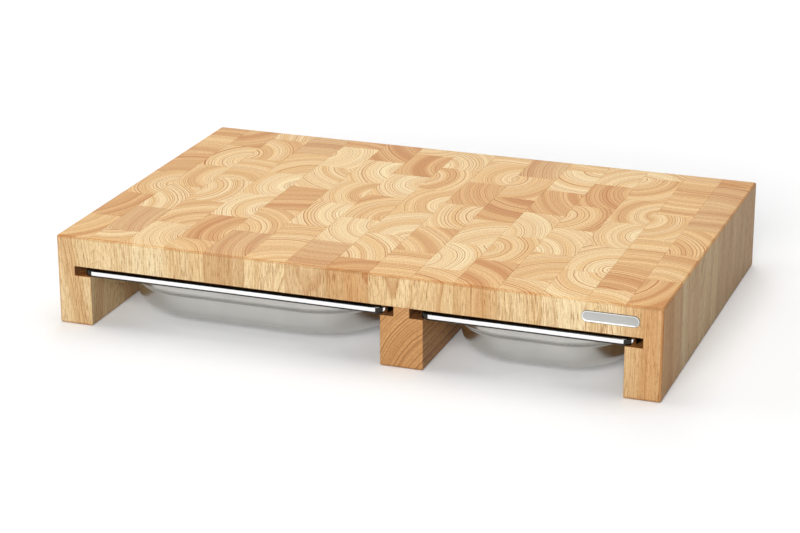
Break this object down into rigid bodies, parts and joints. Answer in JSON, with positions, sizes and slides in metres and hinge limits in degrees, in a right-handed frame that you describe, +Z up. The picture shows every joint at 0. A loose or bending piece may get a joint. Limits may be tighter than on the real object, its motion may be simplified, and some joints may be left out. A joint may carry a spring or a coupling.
{
  "type": "cutting board with drawer trays",
  "caption": "End-grain wooden cutting board raised on legs, with shallow steel trays that slide in grooves underneath and pull out at the front and the back.",
  "frame": {"origin": "on the floor under the middle of the board's footprint", "axes": "+X along the front to the right, +Y to the back, +Z up"},
  "size_m": [0.5, 0.3259, 0.075],
  "materials": {
    "end_grain_wood": "oiled end grain, satin",
    "runner_wood": "oiled long grain, satin",
    "tray_steel": "satin basin with a polished rim",
    "plate_metal": "satin, bare"
  },
  "bodies": {
    "board": {"left_leg_stave": "end_grain_wood", "slab_stave_01": "end_grain_wood", "slab_stave_02": "end_grain_wood", "slab_stave_03": "end_grain_wood", "slab_stave_04": "end_grain_wood", "slab_stave_05": "end_grain_wood", "slab_stave_06": "end_grain_wood", "slab_stave_07": "end_grain_wood", "slab_stave_08": "end_grain_wood", "slab_stave_09": "end_grain_wood", "slab_stave_10": "end_grain_wood", "slab_stave_11": "end_grain_wood", "slab_stave_12": "end_grain_wood", "slab_stave_13": "end_grain_wood", "right_leg_stave": "end_grain_wood", "centre_runner": "runner_wood", "name_plate": "plate_metal"},
    "wide_tray": {"wide_tray": "tray_steel"},
    "narrow_tray": {"narrow_tray": "tray_steel"}
  },
  "joints": [
    {"name": "wide_tray_slide", "type": "slide", "parent": "board", "child": "wide_tray", "axis": [0, 1, 0], "range_m": [-0.3, 0.3]},
    {"name": "narrow_tray_slide", "type": "slide", "parent": "board", "child": "narrow_tray", "axis": [0, 1, 0], "range_m": [-0.3, 0.3]}
  ]
}
